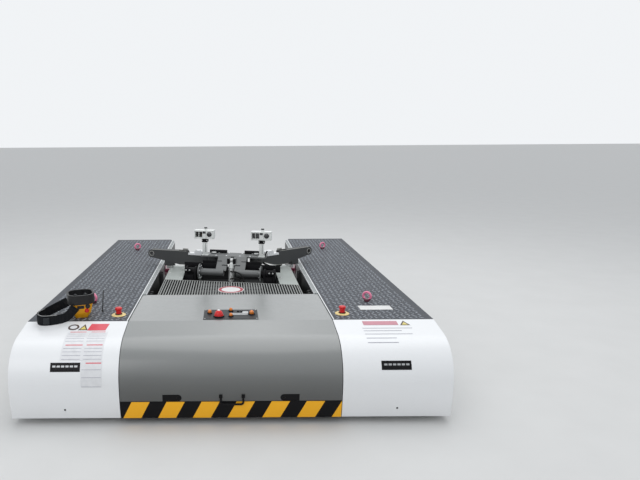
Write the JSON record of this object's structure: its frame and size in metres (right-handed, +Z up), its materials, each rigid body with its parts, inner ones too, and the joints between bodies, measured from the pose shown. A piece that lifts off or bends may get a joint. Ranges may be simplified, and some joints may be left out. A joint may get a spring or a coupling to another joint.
{
  "type": "towbarless aircraft pushback tractor",
  "caption": "Low towbarless aircraft pushback tractor: two wheeled side pods joined by a curved hood, with a lifting carriage, a turning yoke and swinging arms between them.",
  "frame": {"origin": "on the ground under the middle of the body", "axes": "+Z up, -Y to the curved nose, +Y to the open bay at the tail, +X across"},
  "size_m": [2.6, 3.42, 0.908],
  "materials": {
    "white_paint": "smooth gloss paint",
    "pale_paint": "smooth satin paint",
    "grey_paint": "smooth satin paint",
    "deck_plate": "raised tread pattern, satin paint",
    "dark_steel": "satin dark paint",
    "black_paint": "satin black paint",
    "stripe_yellow": "smooth paint",
    "pink_paint": "gloss powder coat",
    "lamp_black": "gloss lens",
    "amber": "moulded",
    "red_plastic": "moulded",
    "yellow_plastic": "moulded",
    "panel_dark": "moulded",
    "rubber": "worn matt",
    "rim_paint": "satin paint",
    "galvanised": "galvanised, satin",
    "machined": "turned",
    "aluminium": "anodised, satin",
    "belt": "woven strap"
  },
  "bodies": {
    "chassis": {"pod_left": "pale_paint", "pod_right": "pale_paint", "nose_left": "white_paint", "nose_right": "white_paint", "deck_left": "deck_plate", "deck_right": "deck_plate", "rails": "pale_paint", "chassis_frame": "dark_steel", "hood": "grey_paint", "hazard_bar": "black_paint", "hazard_stripes": "stripe_yellow", "head_lamps": "lamp_black", "control_panel": "panel_dark", "amber_lamps": "amber", "red_beacon": "red_plastic", "stop_collars": "yellow_plastic", "stop_buttons": "red_plastic", "lifting_rings": "pink_paint", "antenna": "rubber", "hood_latches": "black_paint", "tow_bail": "black_paint", "battery": "dark_steel", "lift_barrels": "dark_steel", "lift_guides": "dark_steel", "drive_motors": "dark_steel", "remote_control": "yellow_plastic", "remote_belt": "belt"},
    "carriage": {"carriage_frame": "pale_paint", "wheel_tray": "galvanised", "tread_grating": "galvanised", "carriage_covers": "galvanised", "lift_rods": "machined"},
    "turntable": {"swivel_base": "dark_steel", "hinge_brackets": "black_paint"},
    "yoke": {"yoke_frame": "galvanised", "sensor_posts": "aluminium", "sensor_heads": "aluminium", "yoke_fittings": "black_paint"},
    "ram_barrel": {"tilt_barrel": "machined", "tilt_hoses": "rubber"},
    "ram_rod": {"tilt_rod": "machined"},
    "left_arm": {"arm_left": "dark_steel", "arm_box_left": "white_paint"},
    "right_arm": {"arm_right": "dark_steel", "arm_box_right": "white_paint", "arm_hoses": "rubber"},
    "left_drive_wheel": {"drive_tyre_left": "rubber", "drive_rim_left": "rim_paint"},
    "right_drive_wheel": {"drive_tyre_right": "rubber", "drive_rim_right": "rim_paint"},
    "left_castor": {"castor_fork_left": "grey_paint"},
    "right_castor": {"castor_fork_right": "grey_paint"},
    "left_castor_wheels": {"castor_wheels_left": "rubber"},
    "right_castor_wheels": {"castor_wheels_right": "rubber"}
  },
  "joints": [
    {"name": "carriage_lift", "type": "slide", "parent": "chassis", "child": "carriage", "axis": [0, 0, 1], "range_m": [0, 0.12]},
    {"name": "yoke_swivel", "type": "hinge", "parent": "carriage", "child": "turntable", "pos_m": [0, -0.1025, 0.4], "axis": [0, 0, 1], "range_deg": [0, 20]},
    {"name": "yoke_tilt", "type": "hinge", "parent": "turntable", "child": "yoke", "pos_m": [0, -0.1025, 0.552], "axis": [0.9781, -0.2079, 0], "range_deg": [0, 15]},
    {"name": "left_arm_swing", "type": "hinge", "parent": "yoke", "child": "left_arm", "pos_m": [-0.14219, 0.14241, 0.63], "axis": [0, 0, -1], "range_deg": [-8, 92]},
    {"name": "right_arm_swing", "type": "hinge", "parent": "yoke", "child": "right_arm", "pos_m": [0.22951, 0.06341, 0.63], "axis": [0, 0, 1], "range_deg": [-48, 52]},
    {"name": "ram_foot", "type": "hinge", "parent": "turntable", "child": "ram_barrel", "pos_m": [0.00748, -0.06729, 0.446], "axis": [0.9781, -0.2079, 0], "range_deg": [0, 8]},
    {"name": "ram_stroke", "type": "slide", "parent": "ram_barrel", "child": "ram_rod", "axis": [0.0348, 0.1639, 0.9859], "range_m": [0, 0.014]},
    {"name": "left_drive_spin", "type": "hinge", "parent": "chassis", "child": "left_drive_wheel", "pos_m": [-0.98, 0.76, 0.225], "axis": [1, 0, 0], "continuous": true},
    {"name": "right_drive_spin", "type": "hinge", "parent": "chassis", "child": "right_drive_wheel", "pos_m": [0.98, 0.76, 0.225], "axis": [1, 0, 0], "continuous": true},
    {"name": "left_castor_swivel", "type": "hinge", "parent": "chassis", "child": "left_castor", "pos_m": [-0.98, -1.0895, 0.3], "axis": [0, 0, 1], "continuous": true},
    {"name": "right_castor_swivel", "type": "hinge", "parent": "chassis", "child": "right_castor", "pos_m": [0.98, -1.0895, 0.3], "axis": [0, 0, 1], "continuous": true},
    {"name": "left_castor_spin", "type": "hinge", "parent": "left_castor", "child": "left_castor_wheels", "pos_m": [-0.98, -1.0215, 0.13], "axis": [1, 0, 0], "continuous": true},
    {"name": "right_castor_spin", "type": "hinge", "parent": "right_castor", "child": "right_castor_wheels", "pos_m": [0.98, -1.0215, 0.13], "axis": [1, 0, 0], "continuous": true}
  ],
  "couplings": [
    {"joint": "ram_foot", "follows": "yoke_tilt", "ratio": 0.5138},
    {"joint": "ram_stroke", "follows": "yoke_tilt", "m_per_rad": 0.04648}
  ]
}
